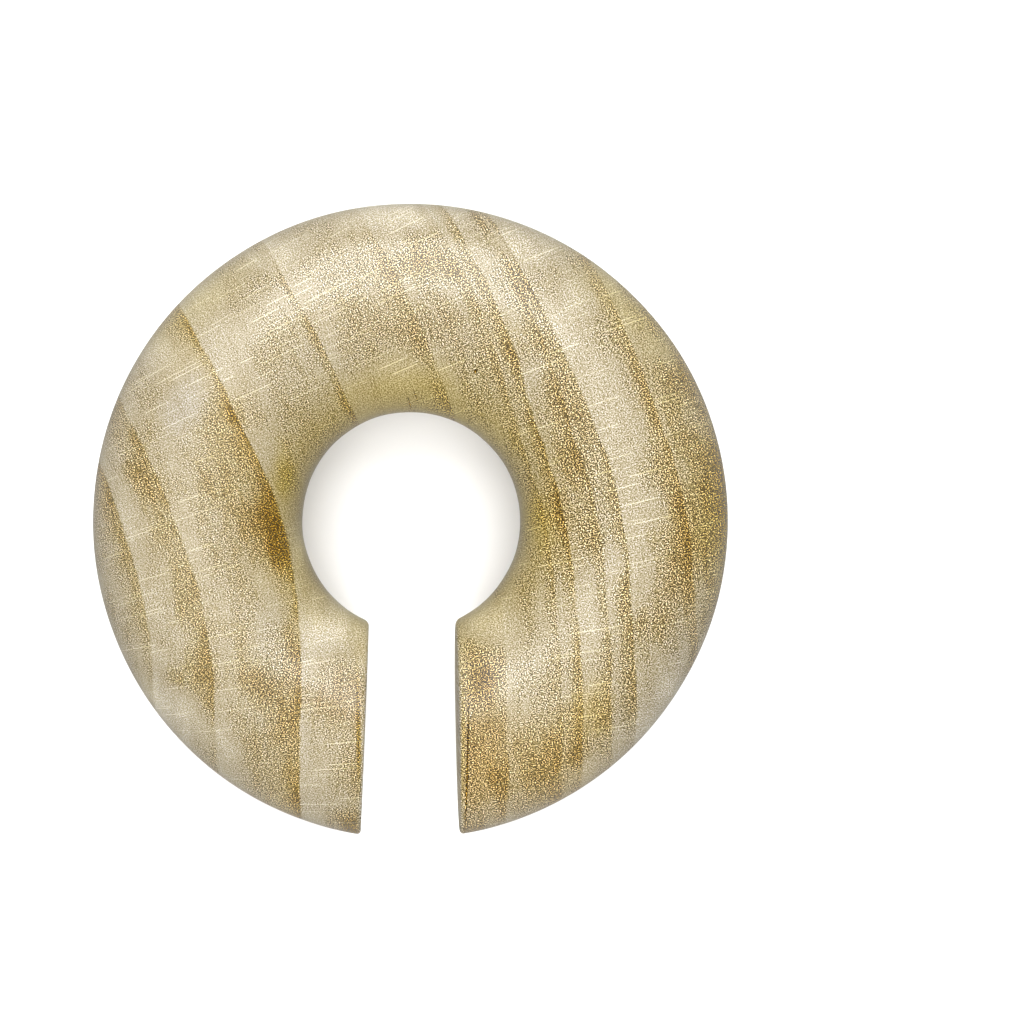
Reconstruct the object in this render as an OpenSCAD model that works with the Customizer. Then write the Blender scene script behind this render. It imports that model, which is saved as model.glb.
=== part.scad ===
// Open wooden hoop for a stretched earlobe: one round ring of solid wood with a slot sawn through one side.
// It lies on its side, so the ring's axis is +Z, the surface it lies on is Z = 0, and the slot opens towards -Y.

/* [Ring] */
// Diameter over the whole hoop
outer_d = 36.5; // [34:0.5:44]
// Diameter of the round wood, which is the gauge that a stretched lobe takes
gauge_d = 12; // [10:0.5:14]

/* [Slot] */
// Width of the slot where it meets the centre hole
slot_throat_w = 5; // [4:0.1:6]
// Width of the slot at its mouth
slot_mouth_w = 5.7; // [4:0.1:7]
// Degrees that the slot's mouth leans towards -X
slot_lean = 0.6; // [-2:0.1:2]
// Depth of the eased edge round each sawn end
edge_ease = 0.2; // [0.1:0.05:0.4]

/* [Hidden] */

$fn = 128;

wood_r = gauge_d / 2;
outer_r = outer_d / 2;
// Circle that the wood's centre follows
ring_r = outer_r - wood_r;
hole_r = ring_r - wood_r;

// The slot's sides part evenly over the wood's width, from the centre hole to the mouth
slot_splay = atan((slot_mouth_w - slot_throat_w) / 2 / gauge_d);
slot_middle_w = (slot_throat_w + slot_mouth_w) / 2;
// How far the cutters run past the wood
overrun = 2;

// A sawn end is slightly taller than it is thick, and its middle lies a little inside the wood's centre line
throat_corner_y = -sqrt(pow(hole_r, 2) - pow(slot_throat_w / 2, 2));
mouth_corner_y = -sqrt(pow(outer_r, 2) - pow(slot_mouth_w / 2, 2));
end_middle_y = (throat_corner_y + mouth_corner_y) / 2 + ring_r;
// Widest reach of the cone that eases an end's edge
ease_reach = 1.2;
ease_overrun = 0.1;

// The whole turned ring, before the slot is sawn
module turned_ring() {
    translate([0, 0, wood_r])
        rotate_extrude()
            translate([ring_r, 0])
                circle(r = wood_r);
}

// Children are drawn from the middle of the slot, with its lean
module at_slot() {
    translate([0, -ring_r, wood_r])
        rotate([0, 0, -slot_lean])
            children();
}

// Half of the slot's width at a distance inside the wood's centre line
function slot_half(inside) = slot_middle_w / 2 - inside * tan(slot_splay);

// The saw's wedge, from the centre of the hole out past the mouth
module slot_wedge() {
    inner = ring_r;
    outer = -wood_r - overrun;
    at_slot()
        translate([0, 0, -wood_r - overrun])
            linear_extrude(gauge_d + 2 * overrun)
                polygon([
                    [-slot_half(inner), inner],
                    [slot_half(inner), inner],
                    [slot_half(outer), outer],
                    [-slot_half(outer), outer]
                ]);
}

// Takes the sharp edge off one sawn end with a cone: side is 1 for the end at +X and -1 for the one at -X
module end_ease(side) {
    cone_r = wood_r - edge_ease;
    at_slot()
        translate([side * slot_half(end_middle_y), end_middle_y, 0])
            rotate([0, 0, side * slot_splay])
                rotate([0, side * 90, 0])
                    rotate_extrude()
                        polygon([
                            [cone_r - ease_overrun, -ease_overrun],
                            [cone_r + ease_reach, -ease_overrun],
                            [cone_r + ease_reach, ease_reach]
                        ]);
}

module hoop() {
    color([0.72, 0.63, 0.44])
        difference() {
            turned_ring();
            slot_wedge();
            end_ease(1);
            end_ease(-1);
        }
}

hoop();
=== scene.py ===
import math
import bpy
import numpy as np
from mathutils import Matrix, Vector


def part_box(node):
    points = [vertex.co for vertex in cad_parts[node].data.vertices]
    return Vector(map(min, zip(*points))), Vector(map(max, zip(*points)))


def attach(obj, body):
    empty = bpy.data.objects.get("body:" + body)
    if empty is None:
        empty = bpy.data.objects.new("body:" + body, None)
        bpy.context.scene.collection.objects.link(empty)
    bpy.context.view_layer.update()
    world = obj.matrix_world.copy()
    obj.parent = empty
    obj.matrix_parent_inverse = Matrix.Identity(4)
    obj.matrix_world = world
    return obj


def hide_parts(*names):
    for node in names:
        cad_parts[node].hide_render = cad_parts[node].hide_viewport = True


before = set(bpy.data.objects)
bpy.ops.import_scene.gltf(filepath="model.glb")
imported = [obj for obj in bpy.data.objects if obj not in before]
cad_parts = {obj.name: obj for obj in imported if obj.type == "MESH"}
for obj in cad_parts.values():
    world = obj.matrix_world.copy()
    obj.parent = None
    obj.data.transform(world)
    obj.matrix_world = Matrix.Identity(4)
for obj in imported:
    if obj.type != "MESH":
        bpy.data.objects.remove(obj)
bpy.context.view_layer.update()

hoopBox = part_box("hoop")
woodRadius = (hoopBox[1][2] - hoopBox[0][2]) / 2
ringRadius = (hoopBox[1][0] - hoopBox[0][0]) / 2 - woodRadius
middleHeight = (hoopBox[1][2] + hoopBox[0][2]) / 2
mm = 0.001


# The hoop as a surface. Its stations run from the middle of one sawn end, out over that end's face and
# eased edge, round the ring, and in over the other end. The points of a station go once round the wood.
hoop = {
    "slotThroat": 5.0 * mm,
    "slotMouth": 5.7 * mm,
    "slotLean": math.radians(0.6),
    "edgeRound": 0.25 * mm,
    "faceStations": 16,
    "edgeStations": 7,
    "ringStations": 620,
    "pointsAround": 144,
    # what sanding takes off everywhere, and the size of the slow swells that it leaves
    "sandedAway": 0.015 * mm,
    "swell": 0.016 * mm,
    # share of that size, waves round the ring and their start, waves round the wood and their start
    "swells": (
        (1.0, 3, 1.3, 1, -0.4),
        (0.7, 5, 0.5, 2, 1.1),
        (0.5, 9, 3.5708, 1, 0.6292),
        (0.35, 14, 0.0, 3, 0.7),
    ),
}


# Sections of a round bar whose radius grows from nothing to the wood's: first flat on the sawn face, then
# round a quarter circle. Depth is how far a point lies inside the face.
def endProfile():
    edge = hoop["edgeRound"]
    flat = np.linspace(0, 1, hoop["faceStations"] + 1)[1:]
    flatRadius = (woodRadius - edge) * np.sqrt(flat)
    turn = np.linspace(0, math.pi / 2, hoop["edgeStations"])[1:]
    radius = np.concatenate([flatRadius, woodRadius - edge * (1 - np.sin(turn))])
    depth = np.concatenate([np.zeros_like(flatRadius), edge * (1 - np.cos(turn))])
    return radius, depth


# Angle round the ring at which a point meets a plane: the plane stands at right angles to a direction
# turned by tilt from +X, at a distance offset from the ring's axis, and a point at a distance from that
# axis lies on it where the cosine of its angle from that direction is the offset over the distance.
def angleAtPlane(tilt, offset, distance):
    return tilt - np.arccos(offset / distance)


# What hand sanding adds to the wood's radius: a sum of slow waves, each the sine of an angle round the ring
# times the cosine of an angle round the wood, less what it takes off everywhere
def sandedSwell(along, around):
    swell = np.zeros_like(along)
    for share, ringWaves, ringStart, woodWaves, woodStart in hoop["swells"]:
        swell += share * np.sin(ringWaves * along + ringStart) * np.cos(woodWaves * around + woodStart)
    return hoop["swell"] * swell - hoop["sandedAway"]


# A round bar bent round a circle: a point's distance from the ring's axis is the ring's radius plus the
# bar's radius times the cosine of the angle round the bar, and its height is the middle's plus the bar's
# radius times that angle's sine. Gives the grid of points, and how much of the sawn face each station is.
def hoopSurface():
    radius, depth = endProfile()
    ringCount = hoop["ringStations"]
    around = np.linspace(0, 2 * math.pi, hoop["pointsAround"], endpoint=False)
    splay = math.atan((hoop["slotMouth"] - hoop["slotThroat"]) / 4 / woodRadius)
    halfSlot = (hoop["slotMouth"] + hoop["slotThroat"]) / 4

    # Both ends are worked out as if they were the one at +X, and the other is then mirrored
    def endAngles(lean, radius, depth):
        tilt = splay - lean
        middle = (halfSlot * math.cos(lean), -ringRadius - halfSlot * math.sin(lean))
        offset = middle[0] * math.cos(tilt) + middle[1] * math.sin(tilt)
        distance = ringRadius + radius[:, None] * np.cos(around)[None, :]
        return angleAtPlane(tilt, offset + depth[:, None], distance)

    firstEnd = endAngles(hoop["slotLean"], radius, depth)
    lastEnd = math.pi - endAngles(-hoop["slotLean"], radius, depth)
    share = np.linspace(0, 1, ringCount + 2)[1:-1, None]
    ring = firstEnd[-1][None, :] * (1 - share) + lastEnd[-1][None, :] * share
    angle = np.concatenate([firstEnd, ring, lastEnd[::-1]])
    sectionRadius = np.concatenate([radius, np.full(ringCount, woodRadius), radius[::-1]])

    section = sectionRadius[:, None] * (1 + sandedSwell(angle, around[None, :]) / woodRadius)
    distance = ringRadius + section * np.cos(around)[None, :]
    height = middleHeight + section * np.sin(around)[None, :]
    grid = np.stack([distance * np.cos(angle), distance * np.sin(angle), height], axis=-1)

    # One on the sawn faces, falling to nothing over the eased edge
    faceShare = 1 - np.clip(depth / hoop["edgeRound"], 0, 1)
    sawn = np.concatenate([faceShare, np.zeros(ringCount), faceShare[::-1]])
    return grid, sawn


# Closes the surface: quads between the stations, and a fan of triangles in the middle of each sawn face
def buildHoop(material):
    grid, sawn = hoopSurface()
    rows, columns, _ = grid.shape
    firstPole = grid[0].mean(axis=0)
    lastPole = grid[-1].mean(axis=0)
    points = np.concatenate([grid.reshape(-1, 3), firstPole[None], lastPole[None]])
    index = np.arange(rows * columns).reshape(rows, columns)
    following = np.roll(index, -1, axis=1)
    quads = np.stack([index[:-1], following[:-1], following[1:], index[1:]], axis=-1).reshape(-1, 4)
    firstFan = np.stack([following[0], index[0], np.full(columns, rows * columns)], axis=-1)
    lastFan = np.stack([index[-1], following[-1], np.full(columns, rows * columns + 1)], axis=-1)

    mesh = bpy.data.meshes.new("hoopSurface")
    mesh.from_pydata(points.tolist(), [], quads.tolist() + firstFan.tolist() + lastFan.tolist())
    mesh.polygons.foreach_set("use_smooth", np.ones(len(mesh.polygons), dtype=bool))
    sawnValues = np.concatenate([np.repeat(sawn, columns), [1.0, 1.0]])
    mesh.attributes.new("sawn", "FLOAT", "POINT").data.foreach_set("value", sawnValues)
    mesh.materials.append(material)
    mesh.update()

    piece = bpy.data.objects.new("woodenHoop", mesh)
    bpy.context.collection.objects.link(piece)
    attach(piece, "root")
    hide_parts("hoop")
    print("hoop surface:", len(mesh.polygons), "faces")


# The wood, in millimetres of the hoop's own frame. The growth lines run down the front from the upper left.
# Two of them are charted as (height, place) pairs, and every other line keeps its share of the way from one
# to the other. Growth counts from the first line towards the bark. A stretch is a noise's repeats in a
# millimetre.
wood = {
    "darkLine": (
        (-24, -6.3), (-18, -6.4), (-12, -6.4), (-6, -6.4), (0, -7.45), (6, -9.95), (12, -13.1), (18, -16.8),
        (24, -20.9),
    ),
    "rightLine": (
        (-24, 12.8), (-18, 12.8), (-12, 12.75), (-6, 12.4), (0, 11.9), (6, 10.2), (12, 8.2), (18, 5.2),
        (24, 1.6),
    ),
    "chartReach": 24.0,
    "lineSpacing": 19.2,
    "pith": (-65.0, -18.0),
    # how far the trunk leans for each millimetre below the hoop's middle, and how softly that starts
    "grainLean": 0.10,
    "leanBend": 2.0,
    # growth at the line, sway at the upper and at the lower end, reach, power and darkness of the late wood
    # before it, reach and lightness of the early wood after it, gold, red
    "growthLines": (
        (-8.9, 0.0, 0.6, 1.3, 0.8, 0.14, 1.3, 0.15, 0.2, 0.1),
        (-5.9, 0.0, 1.2, 1.5, 0.6, 0.15, 1.6, 0.08, 0.1, 0.0),
        (0.0, 0.0, 0.0, 3.6, 1.0, 0.10, 2.4, 0.13, 0.3, 0.2),
        (0.0, 0.0, 0.0, 1.2, 1.4, 0.12, 0.5, 0.00, 0.2, 0.2),
        (6.45, -0.4, 0.0, 0.6, 1.0, 0.14, 1.5, 0.09, 0.1, 0.1),
        (11.7, 0.0, 0.0, 1.9, 1.0, 0.07, 1.4, 0.07, 0.1, 0.1),
        (14.8, 0.3, 0.0, 0.8, 1.0, 0.08, 0.6, 0.03, 0.1, 0.1),
        (15.85, 0.2, 0.1, 0.7, 1.0, 0.15, 1.1, 0.10, 0.2, 0.2),
        (17.65, 0.0, 0.0, 0.6, 1.0, 0.11, 0.6, 0.03, 0.1, 0.1),
        (19.0, -0.9, 0.1, 0.9, 0.9, 0.15, 3.4, 0.12, 0.1, 0.1),
        (22.6, -0.6, 0.6, 0.8, 0.6, 0.07, 1.1, 0.10, 0.1, 0.3),
        (26.4, -0.3, 0.6, 4.8, 0.8, 0.18, 1.0, 0.00, 0.6, 0.2),
    ),
    # growth over which a line stops, and the heights between which its upper and its lower sway set in
    "lineEdge": 0.2,
    "upperSway": (3.0, 15.0),
    "lowerSway": (2.0, -13.0),
    # soft ovals on the front: place across and up, half width and half height, turn in degrees, and what
    # each adds to the darkness, gold, red and flecks. Some ovals paint light, shade and highlights, and are
    # marked as such.
    "patches": (
        # the next two ovals are lighter and less golden: painted highlights on the hole's lower inner slopes
        # on either side of the slot
        (-4.2, -5.8, 3.0, 2.6, 0, -0.48, -0.6, -0.2, 0.0),
        (4.3, -5.9, 2.3, 2.2, 0, -0.40, -0.2, 0.0, 0.0),
        (-0.6, 10.9, 7.0, 2.2, 0, 0.07, 0.0, 0.2, 0.0),
        (5.2, 9.8, 2.4, 2.2, 0, 0.08, 0.2, 0.1, 0.0),
        (0.6, 14.2, 3.2, 1.9, 0, 0.25, 0.2, 0.1, 0.0),
        # lighter upper inner wall with a little gold and red: painted light on the hole's upper inner wall
        (-1.0, 7.8, 5.4, 2.0, 0, -0.12, 0.3, 0.2, 0.0),
        (-15.2, 2.6, 1.4, 2.6, 20, 0.12, 0.0, 0.0, 0.2),
        (-8.1, -0.8, 1.25, 3.8, 6, 0.28, 0.3, 0.6, 0.0),
        (-9.2, 6.0, 1.3, 2.6, 22, 0.12, 0.1, 0.2, 0.0),
        (-7.2, -11.0, 1.4, 2.6, 0, 0.08, 0.3, 0.3, 0.2),
        (-4.2, -9.9, 3.8, 2.6, 0, 0.24, 0.0, 0.1, -0.5),
        (-8.2, -9.2, 2.0, 1.8, 0, 0.2, 0.1, 0.1, 0.1),
        (17.4, 2.6, 1.4, 3.2, 0, 0.1, 0.0, 0.0, 0.0),
        (-9.3, -0.2, 1.2, 1.8, 6, 0.17, 0.0, 0.0, 0.0),
        (-8.6, -3.2, 1.4, 1.4, 0, -0.12, 0.0, 0.0, 0.0),
        (-6.5, -1.2, 1.0, 1.6, 0, -0.2, 0.0, 0.0, 0.0),
        (13.8, -6.0, 2.0, 1.8, 0, 0.12, 0.0, 0.0, 0.0),
        (9.2, 3.0, 1.5, 3.6, 8, 0.10, 0.0, 0.0, 0.0),
        (14.6, -9.4, 1.5, 1.6, 0, -0.26, 0.0, 0.0, 0.0),
        (9.6, -14.4, 2.8, 1.3, 30, -0.22, 0.0, 0.0, 0.0),
        (3.6, -8.8, 1.8, 2.4, 0, 0.44, 0.5, 0.1, -0.2),
        (3.0, -12.6, 1.2, 4.0, 0, 0.14, 0.0, 0.0, 0.0),
        (-3.2, -13.2, 1.1, 4.0, 0, 0.14, 0.0, 0.0, -0.2),
        # darker bottom rim of the left end: painted shadow
        (-3.4, -17.2, 1.5, 1.3, 0, 0.3, 0.0, 0.0, 0.0),
        (-12.0, -8.4, 2.2, 1.8, 0, 0.12, 0.0, 0.0, 0.0),
        (-11.2, 2.4, 1.3, 2.4, 10, 0.10, 0.0, 0.0, 0.0),
        (13.0, -6.6, 1.4, 3.0, 0, 0.10, 0.0, 0.0, 0.0),
        (14.2, 9.6, 1.9, 1.6, -40, -0.16, 0.0, 0.0, 0.0),
        (-14.6, -9.6, 1.4, 1.6, 0, -0.18, 0.0, 0.0, 0.0),
        (9.4, 12.4, 1.5, 1.8, 30, -0.2, 0.0, 0.0, 0.0),
        (4.6, -11.4, 2.4, 3.0, 0, 0.02, 0.1, 0.1, -0.3),
        (3.8, -14.6, 2.4, 4.0, 0, 0.04, 0.3, 0.8, 0.0),
        (7.8, -14.0, 5.6, 4.8, 0, 0.16, 0.5, 0.6, 0.0),
        (9.6, -5.6, 2.2, 3.4, 0, -0.17, 0.0, 0.0, 0.0),
        (10.0, -10.6, 2.0, 2.6, 0, 0.04, 0.6, 0.4, 0.0),
        (8.4, 0.4, 2.2, 5.4, 6, 0.10, 0.1, 0.3, 0.0),
        (8.2, 6.6, 1.8, 2.6, 15, 0.16, 0.1, 0.2, 0.0),
        (6.6, 13.0, 1.4, 1.8, 30, 0.10, 0.0, 0.0, 0.0),
        (14.2, -3.6, 1.6, 5.0, -2, 0.10, 0.0, 0.2, 0.0),
        # the next two ovals paint a highlight on the upper left crest: lighter, the first also less golden
        (-12.4, 6.8, 2.0, 5.4, -25, -0.18, -0.2, -0.1, 0.0),
        (-9.0, 11.4, 4.0, 1.8, 32, -0.10, 0.0, 0.0, 0.0),
        (-11.4, -6.4, 1.4, 3.6, 8, 0.08, 0.0, 0.1, 0.2),
        (-13.4, -5.8, 1.8, 4.0, 16, -0.10, 0.0, 0.0, 0.7),
        # lighter, less golden and less red: a painted highlight on the lower left inner slope
        (-7.8, -4.8, 2.0, 2.6, 0, -0.16, -0.2, -0.2, 0.0),
        (-15.6, 0.4, 1.2, 4.0, 8, -0.10, 0.0, 0.0, 0.0),
        # lighter along the top rim: a painted reflection
        (-0.8, 17.4, 5.2, 1.8, 0, -0.36, 0.0, 0.0, 0.0),
        (-11.6, 12.6, 5.6, 1.7, 42, -0.12, 0.5, 0.0, 0.0),
        (12.2, 12.2, 7.0, 2.2, -45, -0.10, 0.6, 0.0, 0.0),
        (11.1, -1.4, 1.2, 3.2, 0, -0.18, -0.1, 0.0, 0.0),
        (-12.6, -11.6, 5.0, 2.0, -42, -0.26, 0.0, 0.0, 0.0),
        (12.6, -12.4, 5.6, 2.0, 45, -0.12, 0.0, 0.0, 0.0),
        (17.6, 0.6, 2.4, 7.0, 2, 0.02, 0.9, 0.1, 0.0),
        (-9.9, 6.1, 0.9, 1.4, 25, 0.18, 0.2, 0.1, 0.2),
        (-3.0, -11.6, 0.2, 5.0, 1, 0.3, 1.0, 0.0, 0.0),
        (2.85, -12.4, 0.2, 6.2, -1, 0.1, 0.7, 0.0, 0.0),
        (3.1, -13.4, 0.08, 6.0, -1, 0.6, 0.5, 0.0, 0.6),
        (3.8, -12.4, 1.7, 4.4, 0, 0.10, 0.1, 0.2, 0.0),
        (6.2, 15.4, 2.4, 1.3, -25, -0.3, 0.0, 0.0, 0.0),
        (-7.6, 15.0, 2.6, 1.5, 27, -0.24, 0.0, 0.0, 0.0),
        (-13.8, 9.4, 2.4, 1.9, 0, -0.30, 0.0, 0.0, 0.0),
        (-15.2, -7.0, 1.3, 2.6, 10, -0.12, 0.0, 0.0, 0.0),
        (15.4, -1.0, 2.4, 4.4, 0, 0.17, 0.2, 0.1, 0.0),
        (13.6, 2.8, 1.5, 1.8, 0, 0.12, 0.0, 0.0, 0.0),
        (11.2, 8.6, 1.3, 1.4, 0, -0.12, 0.0, 0.0, 0.0),
        (5.0, -14.6, 1.4, 1.4, 0, 0.16, 0.0, 0.0, 0.0),
        (10.8, -1.0, 2.4, 1.5, 0, 0.13, 0.0, 0.0, 0.0),
        (-13.4, -9.0, 1.3, 1.2, 0, 0.12, 0.0, 0.0, 0.0),
        (-15.2, 4.8, 1.2, 1.2, 0, 0.14, 0.0, 0.0, 0.0),
        # darker along the bottom rim: painted shadow, with a little gold and red
        (0.0, -17.8, 7.0, 1.6, 0, 0.33, 0.2, 0.1, 0.0),
        (-7.2, 2.6, 1.3, 2.2, 10, 0.07, 0.8, 0.1, 0.0),
        (7.2, 0.0, 1.4, 2.6, 0, -0.05, 0.6, 0.2, 0.0),
        # the next two ovals are less golden and less red: the whitish tint of painted highlights on the lower
        # left lobe and on the upper left crest
        (-7.4, -9.4, 2.4, 6.0, 0, 0.0, -0.5, -0.4, 0.0),
        (-12.2, 6.2, 2.2, 3.0, 0, 0.0, -0.3, -0.2, 0.0),
        (0.22, 7.1, 0.06, 0.5, 23, 0.5, 0.0, 0.0, 0.0),
        (-0.08, 6.6, 0.06, 0.45, 18, 0.4, 0.0, 0.0, 0.0),
        (3.56, 8.41, 0.14, 0.16, 0, 1.1, 0.0, 0.0, 0.0),
    ),
    # middle and half widths of the yellower wood round the hole, gold, red
    "inner": (0.0, 0.4, 10.6, 10.8, 3.0, 0.8),
    # place across and up, half width and half height of duller wood, added roughness
    "dullSpots": (
        (3.3, -8.6, 1.7, 2.6, 0.4),
        (-3.2, -8.8, 1.2, 2.0, 0.2),
    ),
    # depths at which the ovals start and are full, how ragged they are, and up to what half width they aren't
    "patchDepths": (9.0, 5.4),
    "patchWarp": 0.45,
    "narrow": 0.3,
    # darkness of the plain wood, and its slow unevenness
    "ground": 0.47,
    "wanderStretch": (0.5, 0.35, 0.12),
    "lineWander": 0.10,
    "lateWoodUneven": 0.3,
    "stripeStretch": (1.8, 0.55, 0.04),
    "stripeDepth": 0.09,
    "mottleStretch": (0.45, 0.35, 0.07),
    "mottleStart": (5, 0, 0),
    "mottleDepth": 0.05,
    # flecks are the ends of pores: their noise, its gain and mean square, their depth at no darkness, what
    # a step of darkness adds to it, and the least depth
    "fleckStretch": (13.5, 17.5, 0.0),
    "fleckGain": 4.2,
    "fleckSpread": 0.33,
    "fleckDepth": -0.47,
    "fleckDepthDark": 1.32,
    "fleckDepthLeast": 0.07,
    # how much deeper they are in the younger rings, the growths between which that sets in, and their limits
    "fleckDepthYoung": 0.15,
    "youngRings": (8.0, 20.0),
    "fleckDarkest": -0.76,
    "fleckLeastLight": (0.15, 0.15, 0.15),
    # how strongly a fleck changes red, green and blue
    "fleckChange": (0.91, 1.0, 1.7),
    # flecks and rays fade on the steep walls: the middle of that band above the hoop's middle, the
    # distances from it between which they set in, and the share of the flecks' depth that stays
    "sideMiddle": -0.6,
    "sideFade": (0.5, 4.2),
    "sideFlecks": 0.13,
    # rays: a cell's size outwards from the pith and round it (the third number isn't used), the share of
    # cells that hold a ray, its half width, the range of its half length, and the height over which it
    # comes and goes
    "rayCell": (3.4, 0.25, 1.0),
    "rayShare": 0.95,
    "rayWidth": 0.03,
    "rayLength": 1.9,
    "rayHeight": 6.0,
    # shares of the height that chance shifts a ray by, and between which it sets in
    "rayShift": 7.0,
    "rayWave": (0.05, 0.2),
    # the shortest half length as a share of that range, the shares of width and length inside which a ray
    # is full, how rare strong rays are, the faintest ray's strength, and how much paler than the wood the
    # strongest is
    "rayShortest": 0.2,
    "rayCore": 0.3,
    "rayTaper": 0.5,
    "rayRarity": 3.0,
    "rayFaintest": 0.14,
    "rayDepth": 1.0,
    # darkness, and the wood's colour there
    "colours": (
        (-0.3, (0.590, 0.536, 0.429)),
        (0.0, (0.438, 0.390, 0.285)),
        (0.25, (0.333, 0.291, 0.203)),
        (0.5, (0.254, 0.210, 0.124)),
        (0.7, (0.198, 0.147, 0.068)),
        (0.85, (0.155, 0.107, 0.037)),
        (1.0, (0.113, 0.072, 0.016)),
        (1.3, (0.060, 0.034, 0.005)),
    ),
    # what a whole step of gold or red adds to red, green and blue, as a share
    "goldChange": (0.0, -0.04, -0.38),
    "redChange": (0.05, -0.03, -0.10),
    # on the sawn faces: the share of flecks and rays that stays, less darkness as painted light on these
    # dimly lit faces, and added roughness
    "sawnGrain": 0.25,
    "sawnPaintedLight": 0.3,
    "sawnRoughness": 0.25,
    "roughness": 0.32,
    "fleckRoughness": 0.06,
    "specular": 0.5,
    "polish": 0.3,
    "polishRoughness": 0.25,
}


# Gives a socket a value, or links it to another node's output
def feed(tree, socket, value):
    if isinstance(value, bpy.types.NodeSocket):
        tree.links.new(value, socket)
    else:
        socket.default_value = value


def calc(tree, operation, *values):
    node = tree.nodes.new("ShaderNodeMath")
    node.operation = operation
    for socket, value in zip(node.inputs, values):
        feed(tree, socket, value)
    return node.outputs["Value"]


def vectorCalc(tree, operation, *values):
    node = tree.nodes.new("ShaderNodeVectorMath")
    node.operation = operation
    for socket, value in zip(node.inputs, values):
        feed(tree, socket, value)
    return node.outputs["Value" if operation in ("LENGTH", "DOT_PRODUCT") else "Vector"]


def split(tree, vector):
    node = tree.nodes.new("ShaderNodeSeparateXYZ")
    feed(tree, node.inputs["Vector"], vector)
    return node.outputs["X"], node.outputs["Y"], node.outputs["Z"]


def join(tree, x, y, z):
    node = tree.nodes.new("ShaderNodeCombineXYZ")
    for socket, value in zip(node.inputs, (x, y, z)):
        feed(tree, socket, value)
    return node.outputs["Vector"]


# Rises smoothly from nothing to one as a value goes from start to end
def ease(tree, value, start, end):
    node = tree.nodes.new("ShaderNodeMapRange")
    node.interpolation_type = "SMOOTHSTEP"
    for name, number in (("Value", value), ("From Min", start), ("From Max", end)):
        feed(tree, node.inputs[name], number)
    return node.outputs["Result"]


# Most of a noise node's values lie within a quarter of 0.5, and this spreads them to between about -1 and 1
noiseGain = 4.0


# One noise between about -1 and 1 on a place that is first stretched along its axes. A flat one runs on
# straight along the third axis.
def grainNoise(tree, vector, stretch, flat=False, detail=0.0, roughness=0.5):
    node = tree.nodes.new("ShaderNodeTexNoise")
    node.noise_dimensions = "2D" if flat else "3D"
    feed(tree, node.inputs["Vector"], vectorCalc(tree, "MULTIPLY", vector, stretch))
    node.inputs["Scale"].default_value = 1.0
    node.inputs["Detail"].default_value = detail
    node.inputs["Roughness"].default_value = roughness
    return calc(tree, "MULTIPLY_ADD", node.outputs["Fac"], noiseGain, -noiseGain / 2)


# Three noises in one vector, each between about -1 and 1, on a place that is first stretched along its axes
def unevenness(tree, vector, stretch, detail, start=(0, 0, 0)):
    node = tree.nodes.new("ShaderNodeTexNoise")
    feed(tree, node.inputs["Vector"], vectorCalc(tree, "MULTIPLY_ADD", vector, stretch, start))
    node.inputs["Scale"].default_value = 1.0
    node.inputs["Detail"].default_value = detail
    return vectorCalc(tree, "MULTIPLY_ADD", node.outputs["Color"], [noiseGain] * 3, [-noiseGain / 2] * 3)


# A node group with named sockets: inputs are (name, kind, value) and outputs are (name, kind)
def newGroup(name, inputs, outputs):
    tree = bpy.data.node_groups.new(name, "ShaderNodeTree")
    for socketName, kind, value in inputs:
        socket = tree.interface.new_socket(socketName, in_out="INPUT", socket_type="NodeSocket" + kind)
        socket.default_value = value
    for socketName, kind in outputs:
        tree.interface.new_socket(socketName, in_out="OUTPUT", socket_type="NodeSocket" + kind)
    return tree, tree.nodes.new("NodeGroupInput").outputs, tree.nodes.new("NodeGroupOutput").inputs


# Places a group in a material or another group, and gives its inputs their values by name
def place(tree, group, **values):
    node = tree.nodes.new("ShaderNodeGroup")
    node.node_tree = group
    for name, value in values.items():
        feed(tree, node.inputs[name], value)
    return node.outputs


# A line charted as (height, place) pairs, read off at a height
def chartedLine(tree, height, pairs):
    reach = wood["chartReach"]
    node = tree.nodes.new("ShaderNodeFloatCurve")
    curve = node.mapping.curves[0]
    for _ in pairs[2:]:
        curve.points.new(0.5, 0.5)
    for point, pair in zip(curve.points, pairs):
        point.location = [(value + reach) / (2 * reach) for value in pair]
    node.mapping.update()
    feed(tree, node.inputs["Value"], calc(tree, "MULTIPLY_ADD", height, 0.5 / reach, 0.5))
    return calc(tree, "MULTIPLY_ADD", node.outputs["Value"], 2 * reach, -reach)


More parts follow.
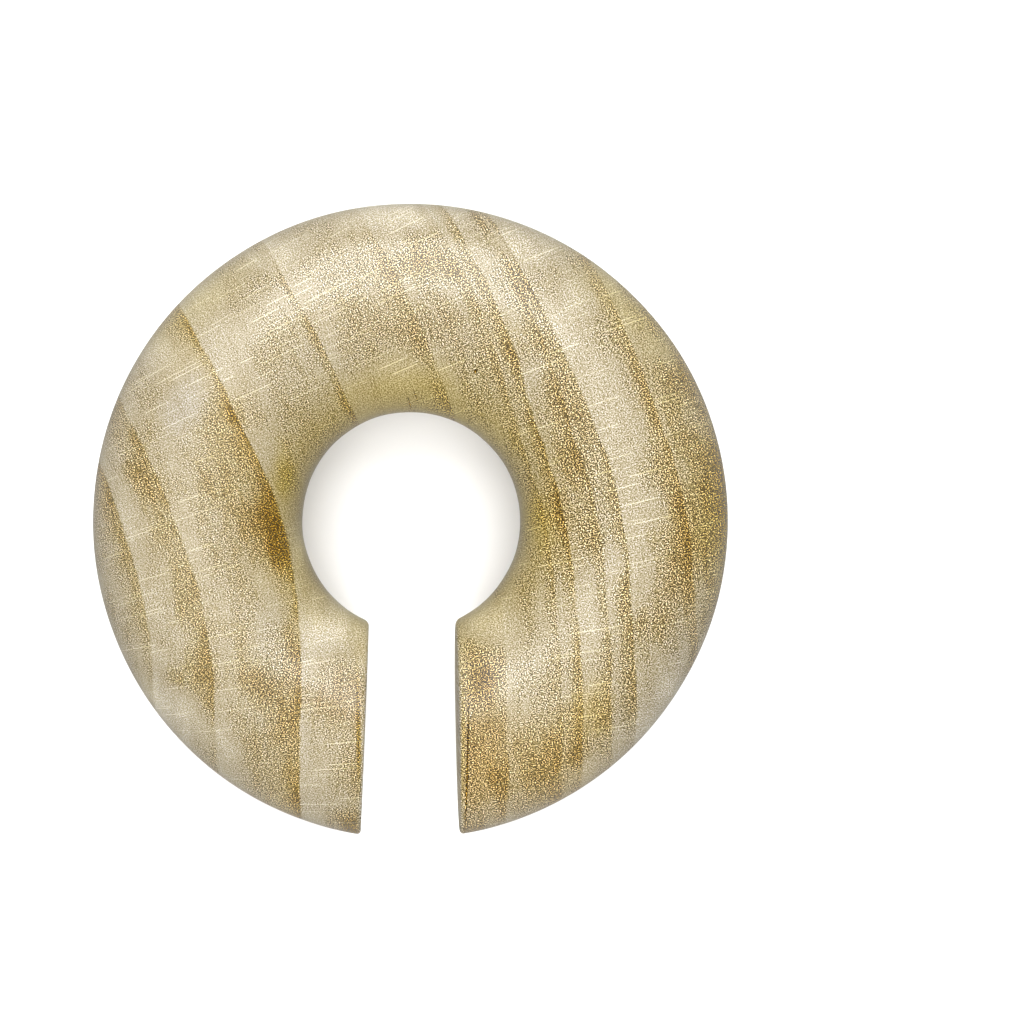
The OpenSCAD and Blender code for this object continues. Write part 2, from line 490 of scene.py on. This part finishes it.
# Where a point lies in the tree that the hoop was cut from. Growth rises across the rings. Grain is the
# distance from the pith, the way round it, and the height along the trunk, which is the hoop's thickness.
# Below the hoop's middle the trunk leans.
def growthPlaceGroup():
    tree, given, result = newGroup(
        "growthPlace",
        [("Point", "Vector", (0, 0, 0)), ("Lean", "Float", 0.1)],
        [("Place", "Vector"), ("Grain", "Vector"), ("Growth", "Float")],
    )
    x, y, z = split(tree, vectorCalc(tree, "MULTIPLY", given["Point"], (1 / mm, 1 / mm, 1 / mm)))
    below = calc(tree, "SMOOTH_MAX", calc(tree, "SUBTRACT", middleHeight / mm, z), 0.0, wood["leanBend"])
    x = calc(tree, "MULTIPLY_ADD", below, given["Lean"], x)
    first = chartedLine(tree, y, wood["darkLine"])
    last = chartedLine(tree, y, wood["rightLine"])
    share = calc(tree, "DIVIDE", calc(tree, "SUBTRACT", x, first), calc(tree, "SUBTRACT", last, first))
    feed(tree, result["Growth"], calc(tree, "MULTIPLY", share, wood["lineSpacing"]))
    acrossPith = calc(tree, "SUBTRACT", x, wood["pith"][0])
    upPith = calc(tree, "SUBTRACT", y, wood["pith"][1])
    turn = calc(tree, "ARCTAN2", upPith, acrossPith)
    distance = vectorCalc(tree, "LENGTH", join(tree, acrossPith, upPith, 0.0))
    feed(tree, result["Grain"], join(tree, distance, calc(tree, "MULTIPLY", turn, -wood["pith"][0]), z))
    feed(tree, result["Place"], join(tree, x, y, z))
    return tree


# One growth line. Late deepens as a power of the way from Reach before the line up to the line, and stops
# there sharply. Early starts there and fades over its own reach.
def growthLineGroup():
    tree, given, result = newGroup(
        "growthLine",
        [
            ("Growth", "Float", 0), ("Line", "Float", 0), ("Reach", "Float", 1), ("Power", "Float", 1),
            ("EarlyReach", "Float", 1), ("Edge", "Float", 0.2),
        ],
        [("Late", "Float"), ("Early", "Float")],
    )
    past = calc(tree, "SUBTRACT", given["Growth"], given["Line"])
    before = calc(tree, "ADD", calc(tree, "DIVIDE", past, given["Reach"]), 1.0)
    rise = calc(tree, "POWER", calc(tree, "MAXIMUM", before, 0.0), given["Power"])
    over = ease(tree, past, 0.0, given["Edge"])
    late = calc(tree, "MULTIPLY", calc(tree, "MINIMUM", rise, 1.0), calc(tree, "SUBTRACT", 1.0, over))
    after = calc(tree, "SUBTRACT", 1.0, calc(tree, "DIVIDE", past, given["EarlyReach"]))
    fade = calc(tree, "MAXIMUM", after, 0.0)
    feed(tree, result["Late"], late)
    feed(tree, result["Early"], calc(tree, "MULTIPLY", fade, over))
    return tree


# A soft-edged oval, one in its middle and nothing at its rim. Across and Up point along its half axes, each
# as long as one over that half.
def softPatchGroup():
    tree, given, result = newGroup(
        "softPatch",
        [
            ("Place", "Vector", (0, 0, 0)), ("Middle", "Vector", (0, 0, 0)), ("Across", "Vector", (1, 0, 0)),
            ("Up", "Vector", (0, 1, 0)),
        ],
        [("Amount", "Float")],
    )
    offset = vectorCalc(tree, "SUBTRACT", given["Place"], given["Middle"])
    across = vectorCalc(tree, "DOT_PRODUCT", offset, given["Across"])
    up = vectorCalc(tree, "DOT_PRODUCT", offset, given["Up"])
    distance = vectorCalc(tree, "LENGTH", join(tree, across, up, 0.0))
    feed(tree, result["Amount"], ease(tree, distance, 1.0, 0.0))
    return tree


# Places an oval by its middle, its half width and half height and its turn in degrees, and gives its amount
def oval(tree, softPatch, spot, middle, halves, turn=0):
    cosine, sine = math.cos(math.radians(turn)), math.sin(math.radians(turn))
    across = (cosine / halves[0], sine / halves[0], 0)
    upward = (-sine / halves[1], cosine / halves[1], 0)
    return place(tree, softPatch, Place=spot, Middle=(*middle, 0), Across=across, Up=upward)["Amount"]


# The hoop's whole figure: how dark, how golden, how red, how flecked and how dull the wood is at a point,
# before its flecks and rays. Each is a sum of amounts of growth lines, ovals and noises, times their
# shares. Some ovals paint light, shade and highlights into the darkness and tint.
def figureGroup():
    tree, given, result = newGroup(
        "figure",
        [("Place", "Vector", (0, 0, 0)), ("Grain", "Vector", (0, 0, 0)), ("Growth", "Float", 0)],
        [("Darkness", "Float"), ("Gold", "Float"), ("Red", "Float"), ("Flecks", "Float"), ("Dull", "Float")],
    )
    height = split(tree, given["Place"])[1]
    wander = unevenness(tree, given["Place"], wood["wanderStretch"], detail=2.0)
    growth = calc(tree, "MULTIPLY_ADD", split(tree, wander)[2], wood["lineWander"], given["Growth"])
    slow = unevenness(tree, given["Place"], wood["mottleStretch"], detail=1.0, start=wood["mottleStart"])
    strength = calc(tree, "MULTIPLY_ADD", split(tree, slow)[0], wood["lateWoodUneven"], 1.0)
    sums = {"Darkness": wood["ground"], "Gold": 0.0, "Red": 0.0, "Flecks": 1.0, "Dull": 0.0}

    def add(amount, parts):
        for name, part in parts.items():
            if part:
                sums[name] = calc(tree, "MULTIPLY_ADD", amount, part, sums[name])

    growthLine = growthLineGroup()
    upper = ease(tree, height, *wood["upperSway"])
    lower = ease(tree, height, *wood["lowerSway"])
    for line, up, down, reach, power, dark, earlyReach, light, gold, red in wood["growthLines"]:
        line = calc(tree, "MULTIPLY_ADD", lower, down, calc(tree, "MULTIPLY_ADD", upper, up, line))
        ring = place(tree, growthLine, Growth=growth, Line=line, Reach=reach, Power=power,
                     EarlyReach=earlyReach, Edge=wood["lineEdge"])
        add(calc(tree, "MULTIPLY", ring["Late"], strength), {"Darkness": dark, "Gold": gold, "Red": red})
        add(ring["Early"], {"Darkness": -light})

    softPatch = softPatchGroup()
    warp = (wood["patchWarp"], wood["patchWarp"], 0)
    ragged = vectorCalc(tree, "MULTIPLY_ADD", wander, warp, given["Place"])
    depth = calc(tree, "SUBTRACT", 2 * woodRadius / mm, split(tree, given["Place"])[2])
    front = ease(tree, depth, *wood["patchDepths"])
    x, y, halfWidth, halfHeight, gold, red = wood["inner"]
    add(oval(tree, softPatch, ragged, (x, y), (halfWidth, halfHeight)), {"Gold": gold, "Red": red})
    for x, y, halfWidth, halfHeight, turn, dark, gold, red, fleck in wood["patches"]:
        spot = ragged if halfWidth > wood["narrow"] else given["Place"]
        amount = oval(tree, softPatch, spot, (x, y), (halfWidth, halfHeight), turn)
        amount = calc(tree, "MULTIPLY", amount, front)
        add(amount, {"Darkness": dark, "Gold": gold, "Red": red, "Flecks": fleck})
    for x, y, halfWidth, halfHeight, dull in wood["dullSpots"]:
        amount = oval(tree, softPatch, ragged, (x, y), (halfWidth, halfHeight))
        add(calc(tree, "MULTIPLY", amount, front), {"Dull": dull})

    _, way, trunk = split(tree, given["Grain"])
    alongRings = join(tree, growth, way, trunk)
    stripes = grainNoise(tree, alongRings, wood["stripeStretch"], detail=2.0, roughness=0.6)
    add(stripes, {"Darkness": wood["stripeDepth"]})
    add(split(tree, slow)[1], {"Darkness": wood["mottleDepth"]})
    for name, value in sums.items():
        feed(tree, result[name], value)
    return tree


# Rays: thin pale ribbons that point to the pith. A share of the cells hold one, of chance length and
# strength, which comes and goes along the trunk.
def rayGroup():
    tree, given, result = newGroup(
        "rays",
        [
            ("Grain", "Vector", (0, 0, 0)), ("Cell", "Vector", (3, 0.5, 1)), ("Width", "Float", 0.05),
            ("Length", "Float", 1.2), ("Share", "Float", 0.4), ("Height", "Float", 6),
        ],
        [("Amount", "Float")],
    )
    cells = tree.nodes.new("ShaderNodeTexVoronoi")
    cells.voronoi_dimensions = "2D"
    cells.inputs["Scale"].default_value = 1.0
    feed(tree, cells.inputs["Vector"], vectorCalc(tree, "DIVIDE", given["Grain"], given["Cell"]))
    chance = tree.nodes.new("ShaderNodeSeparateColor")
    feed(tree, chance.inputs["Color"], cells.outputs["Color"])
    middle = vectorCalc(tree, "MULTIPLY", cells.outputs["Position"], given["Cell"])
    fromMiddle = vectorCalc(tree, "ABSOLUTE", vectorCalc(tree, "SUBTRACT", given["Grain"], middle))
    along, across, _ = split(tree, fromMiddle)
    half = calc(tree, "ADD", chance.outputs["Green"], wood["rayShortest"])
    half = calc(tree, "MULTIPLY", half, given["Length"])
    narrow = ease(tree, across, given["Width"], calc(tree, "MULTIPLY", given["Width"], wood["rayCore"]))
    short = ease(tree, along, half, calc(tree, "MULTIPLY", half, wood["rayTaper"]))
    trunk = calc(tree, "DIVIDE", split(tree, given["Grain"])[2], given["Height"])
    shifted = calc(tree, "MULTIPLY_ADD", chance.outputs["Red"], wood["rayShift"], trunk)
    wave = calc(tree, "PINGPONG", shifted, 0.5)
    held = calc(tree, "LESS_THAN", chance.outputs["Red"], given["Share"])
    rare = calc(tree, "POWER", chance.outputs["Blue"], wood["rayRarity"])
    strength = calc(tree, "MULTIPLY_ADD", rare, 1 - wood["rayFaintest"], wood["rayFaintest"])
    amount = calc(tree, "MULTIPLY", calc(tree, "MULTIPLY", narrow, short), ease(tree, wave, *wood["rayWave"]))
    feed(tree, result["Amount"], calc(tree, "MULTIPLY", amount, calc(tree, "MULTIPLY", held, strength)))
    return tree


# The wood's colours in order of darkness
def colourScale(tree, darkness):
    lowest, highest = wood["colours"][0][0], wood["colours"][-1][0]
    ramp = tree.nodes.new("ShaderNodeValToRGB")
    stops = ramp.color_ramp.elements
    for _ in wood["colours"][2:]:
        stops.new(0.5)
    for stop, (amount, colour) in zip(stops, wood["colours"]):
        stop.position = (amount - lowest) / (highest - lowest)
        stop.color = (*colour, 1)
    reach = calc(tree, "DIVIDE", calc(tree, "SUBTRACT", darkness, lowest), highest - lowest)
    feed(tree, ramp.inputs["Fac"], reach)
    return ramp.outputs["Color"]


def woodMaterial():
    material = bpy.data.materials.new("polishedWood")
    material.use_nodes = True
    tree = material.node_tree
    shader = tree.nodes["Principled BSDF"]
    point = tree.nodes.new("ShaderNodeTexCoord").outputs["Object"]
    where = place(tree, growthPlaceGroup(), Point=point, Lean=wood["grainLean"])
    figure = place(tree, figureGroup(), Place=where["Place"], Grain=where["Grain"], Growth=where["Growth"])
    rays = place(tree, rayGroup(), Grain=where["Grain"], Cell=wood["rayCell"], Width=wood["rayWidth"],
                 Length=wood["rayLength"], Share=wood["rayShare"], Height=wood["rayHeight"])["Amount"]
    flecks = grainNoise(tree, where["Grain"], wood["fleckStretch"], flat=True)
    attribute = tree.nodes.new("ShaderNodeAttribute")
    attribute.attribute_name = "sawn"
    sawn = attribute.outputs["Fac"]

    # End grain shows flecks and rays in full, and the walls and sawn faces that run along the trunk hardly do
    sideMiddle = middleHeight / mm + wood["sideMiddle"]
    fromSide = calc(tree, "ABSOLUTE", calc(tree, "SUBTRACT", split(tree, where["Place"])[2], sideMiddle))
    polished = calc(tree, "MULTIPLY_ADD", sawn, wood["sawnGrain"] - 1, 1.0)
    endGrain = calc(tree, "MULTIPLY", ease(tree, fromSide, *wood["sideFade"]), polished)
    rays = calc(tree, "MULTIPLY", rays, endGrain)

    # Dark wood has deeper flecks than pale wood, and younger rings have deeper ones than older rings
    depth = calc(tree, "MULTIPLY_ADD", figure["Darkness"], wood["fleckDepthDark"], wood["fleckDepth"])
    younger = ease(tree, where["Growth"], *wood["youngRings"])
    younger = calc(tree, "MULTIPLY_ADD", younger, wood["fleckDepthYoung"], 1.0)
    depth = calc(tree, "MULTIPLY", calc(tree, "MAXIMUM", depth, wood["fleckDepthLeast"]), younger)
    shown = calc(tree, "MULTIPLY_ADD", endGrain, 1 - wood["sideFlecks"], wood["sideFlecks"])
    depth = calc(tree, "MULTIPLY", depth, shown)
    depth = calc(tree, "MULTIPLY", calc(tree, "MULTIPLY", depth, figure["Flecks"]), wood["fleckGain"])
    flecks = calc(tree, "MAXIMUM", calc(tree, "MULTIPLY", flecks, depth), wood["fleckDarkest"])
    flecks = calc(tree, "MULTIPLY", flecks, calc(tree, "SUBTRACT", 1.0, rays))
    darkness = calc(tree, "MULTIPLY_ADD", rays, -wood["rayDepth"], figure["Darkness"])
    # The sawn faces are made paler: painted light on the dimly lit slot faces
    darkness = calc(tree, "MULTIPLY_ADD", sawn, -wood["sawnPaintedLight"], darkness)

    # The colour is the scale's at this darkness, times the tint of gold and red, times the square of the
    # flecks' light, over that square's mean, so that flecks leave the wood as bright as it was
    tint = vectorCalc(tree, "MULTIPLY_ADD", figure["Gold"], wood["goldChange"], (1, 1, 1))
    tint = vectorCalc(tree, "MULTIPLY_ADD", figure["Red"], wood["redChange"], tint)
    speckled = vectorCalc(tree, "MULTIPLY_ADD", flecks, wood["fleckChange"], (1, 1, 1))
    speckled = vectorCalc(tree, "MAXIMUM", speckled, wood["fleckLeastLight"])
    tint = vectorCalc(tree, "MULTIPLY", vectorCalc(tree, "MULTIPLY", speckled, speckled), tint)
    spread = [wood["fleckSpread"] * change * change for change in wood["fleckChange"]]
    brightened = vectorCalc(tree, "MULTIPLY_ADD", calc(tree, "MULTIPLY", depth, depth), spread, (1, 1, 1))
    tint = vectorCalc(tree, "DIVIDE", tint, brightened)
    colour = vectorCalc(tree, "MULTIPLY", colourScale(tree, darkness), tint)
    feed(tree, shader.inputs["Base Color"], colour)

    rough = calc(tree, "MULTIPLY_ADD", sawn, wood["sawnRoughness"], wood["roughness"])
    rough = calc(tree, "ADD", rough, figure["Dull"])
    feed(tree, shader.inputs["Roughness"], calc(tree, "MULTIPLY_ADD", flecks, -wood["fleckRoughness"], rough))
    shader.inputs["Specular IOR Level"].default_value = wood["specular"]
    shader.inputs["Coat Weight"].default_value = wood["polish"]
    shader.inputs["Coat Roughness"].default_value = wood["polishRoughness"]
    return material


# The camera looks down on the hoop as the photograph looks at it. Its place in the picture is the hoop's
# middle in pixels of the 1024 pixel frame.
view = {
    "distance": 200 * mm,
    "sideways": -1.7 * mm,
    "middleX": 411.2,
    "middleY": 520.9,
    "outerRadius": 317.5,
    "frame": 1024,
    "sensor": 36.0,
    "nearest": 1 * mm,
    "farthest": 10.0,
}


def placeCamera():
    half = view["frame"] / 2
    reach = math.hypot(view["distance"], ringRadius)
    edgeAngle = math.atan(ringRadius / view["distance"]) + math.asin(woodRadius / reach)
    focal = view["outerRadius"] / math.tan(edgeAngle)
    data = bpy.data.cameras.new("camera")
    data.sensor_width = view["sensor"]
    data.lens = focal / view["frame"] * view["sensor"]
    data.clip_start = view["nearest"]
    data.clip_end = view["farthest"]
    camera = bpy.data.objects.new("camera", data)
    bpy.context.collection.objects.link(camera)
    camera.location = (view["sideways"], 0, middleHeight + view["distance"])
    inPicture = Vector(((view["middleX"] - half) / focal, (half - view["middleY"]) / focal, -1))
    toHoop = Vector((0, 0, middleHeight)) - camera.location
    camera.rotation_euler = inPicture.rotation_difference(toHoop).to_euler()
    bpy.context.scene.camera = camera


# The floor and two of the lights don't show in reflections, which would grey the wood. A glow below the
# horizon takes the floor's place there.
studio = {
    "floorSize": 3.0,
    "floorColour": (0.92, 0.92, 0.92, 1),
    "floorRoughness": 0.6,
    "floorSpecular": 0.2,
    "skyColour": (1.0, 1.0, 1.0, 1),
    "skyTop": 0.15,
    "skyHorizon": 0.05,
    # the glow's strength, and how far below the horizon it starts and is full
    "groundGlow": 0.34,
    "glowStart": -0.05,
    "glowFull": -0.35,
    # name, position, size, power, whether it shows in reflections
    "lights": (
        ("panel", (-0.01, 0.365, 0.342), (0.46, 0.56), 3.95, True),
        ("bottom", (-0.05, -0.37, 0.34), (0.70, 0.60), 2.9, False),
        ("front", (0.0, 0.0, 0.52), (0.50, 0.50), 2.7, False),
    ),
}


# A rectangular light that points at the hoop
def softLight(name, position, size, power, mirrored):
    data = bpy.data.lights.new(name, "AREA")
    data.shape = "RECTANGLE"
    data.size, data.size_y = size
    data.energy = power
    light = bpy.data.objects.new(name, data)
    bpy.context.collection.objects.link(light)
    light.location = position
    light.visible_glossy = mirrored
    aim = Vector((0, 0, middleHeight)) - Vector(position)
    light.rotation_euler = aim.to_track_quat("-Z", "Y").to_euler()


def floorMaterial():
    material = bpy.data.materials.new("paleFloor")
    material.use_nodes = True
    shader = material.node_tree.nodes["Principled BSDF"]
    shader.inputs["Base Color"].default_value = studio["floorColour"]
    shader.inputs["Roughness"].default_value = studio["floorRoughness"]
    shader.inputs["Specular IOR Level"].default_value = studio["floorSpecular"]
    return material


# A plain sky that is brightest overhead and darkest at the horizon, with the glow below it
def buildSky():
    world = bpy.data.worlds.new("studioSky")
    world.use_nodes = True
    tree = world.node_tree
    background = tree.nodes["Background"]
    background.inputs["Color"].default_value = studio["skyColour"]
    up = split(tree, tree.nodes.new("ShaderNodeTexCoord").outputs["Generated"])[2]
    rise = tree.nodes.new("ShaderNodeMapRange")
    rise.inputs["To Min"].default_value = studio["skyHorizon"]
    rise.inputs["To Max"].default_value = studio["skyTop"]
    feed(tree, rise.inputs["Value"], up)
    glow = tree.nodes.new("ShaderNodeMapRange")
    glow.inputs["From Min"].default_value = studio["glowStart"]
    glow.inputs["From Max"].default_value = studio["glowFull"]
    glow.inputs["To Max"].default_value = studio["groundGlow"]
    feed(tree, glow.inputs["Value"], up)
    strength = calc(tree, "ADD", rise.outputs["Result"], glow.outputs["Result"])
    feed(tree, background.inputs["Strength"], strength)
    bpy.context.scene.world = world


def buildStudio():
    half = studio["floorSize"] / 2
    mesh = bpy.data.meshes.new("studioFloor")
    corners = [(-half, -half, 0), (half, -half, 0), (half, half, 0), (-half, half, 0)]
    mesh.from_pydata(corners, [], [(0, 1, 2, 3)])
    mesh.materials.append(floorMaterial())
    floor = bpy.data.objects.new("studioFloor", mesh)
    bpy.context.collection.objects.link(floor)
    floor.visible_glossy = False
    for light in studio["lights"]:
        softLight(*light)
    buildSky()
    bpy.context.scene.view_settings.view_transform = "Standard"


placeCamera()
print("camera placed")
buildStudio()
print("studio built")
buildHoop(woodMaterial())
